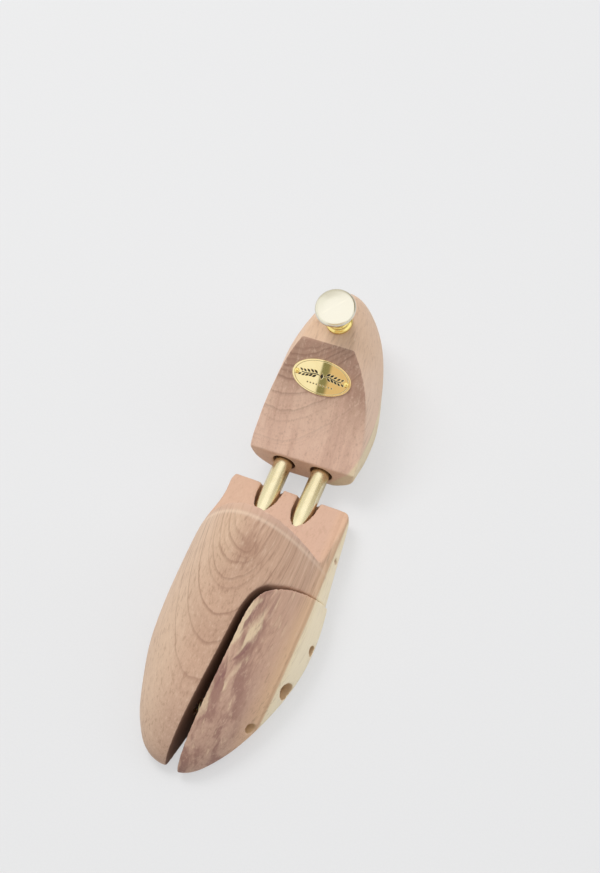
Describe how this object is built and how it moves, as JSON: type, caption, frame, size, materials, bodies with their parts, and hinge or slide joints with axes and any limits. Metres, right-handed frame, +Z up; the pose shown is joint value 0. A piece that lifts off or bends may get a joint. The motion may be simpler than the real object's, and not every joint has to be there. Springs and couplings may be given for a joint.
{
  "type": "shoe tree",
  "caption": "Wooden shoe tree with a spring-loaded heel block on paired tubes, a sprung side piece at the toe and a round pull knob.",
  "frame": {"origin": "point of the flat sole plane midway between the tubes, under the ball of the forepart", "axes": "+Z up from the sole, -Y towards the toe, +Y towards the heel, +X towards the little-toe side of this left-foot tree"},
  "size_m": [0.0828, 0.2758, 0.0848],
  "materials": {
    "cedar_forepart": "fine sanded, unfinished cedar",
    "cedar_wing": "fine sanded, unfinished cedar with pale sapwood",
    "cedar_heel": "fine sanded, unfinished cedar",
    "dowel_wood": "end grain",
    "satin_brass": "satin plated",
    "polished_brass": "polished plated",
    "steel": "bright drawn",
    "spring_steel": "drawn wire",
    "brassed_spring": "brass-plated wire"
  },
  "bodies": {
    "forepart": {"forepart_block": "cedar_forepart", "left_tube": "satin_brass", "right_tube": "satin_brass", "left_tube_spring": "spring_steel", "right_tube_spring": "spring_steel", "left_spring_seat": "steel", "right_spring_seat": "steel", "toe_cross_pin": "steel", "wing_front_pin": "steel", "wing_rear_pin": "steel", "wing_front_spring": "brassed_spring", "wing_rear_spring": "brassed_spring", "wing_main_spring": "brassed_spring"},
    "wing": {"toe_wing": "cedar_wing", "wing_dowel": "dowel_wood"},
    "heel": {"heel_block": "cedar_heel", "heel_cross_pin": "steel", "left_spring_follower": "steel", "right_spring_follower": "steel", "knob_base": "polished_brass", "knob_head": "polished_brass", "knob_screw": "steel", "nameplate": "polished_brass", "nameplate_pins": "polished_brass"}
  },
  "joints": [
    {"name": "heel_slide", "type": "slide", "parent": "forepart", "child": "heel", "axis": [0, -1, 0], "range_m": [0, 0.0136], "stiffness_N_per_m": 1500, "springref_m": -0.02, "deforming": ["left_tube_spring", "right_tube_spring"]},
    {"name": "wing_swing", "type": "hinge", "parent": "forepart", "child": "wing", "pos_m": [0.03, 0.045, 0.014], "axis": [0, 0, 1], "range_deg": [-2.5, 0], "stiffness_Nm_per_rad": 8, "springref_deg": 2.86, "deforming": ["wing_front_spring", "wing_rear_spring", "wing_main_spring"]}
  ]
}
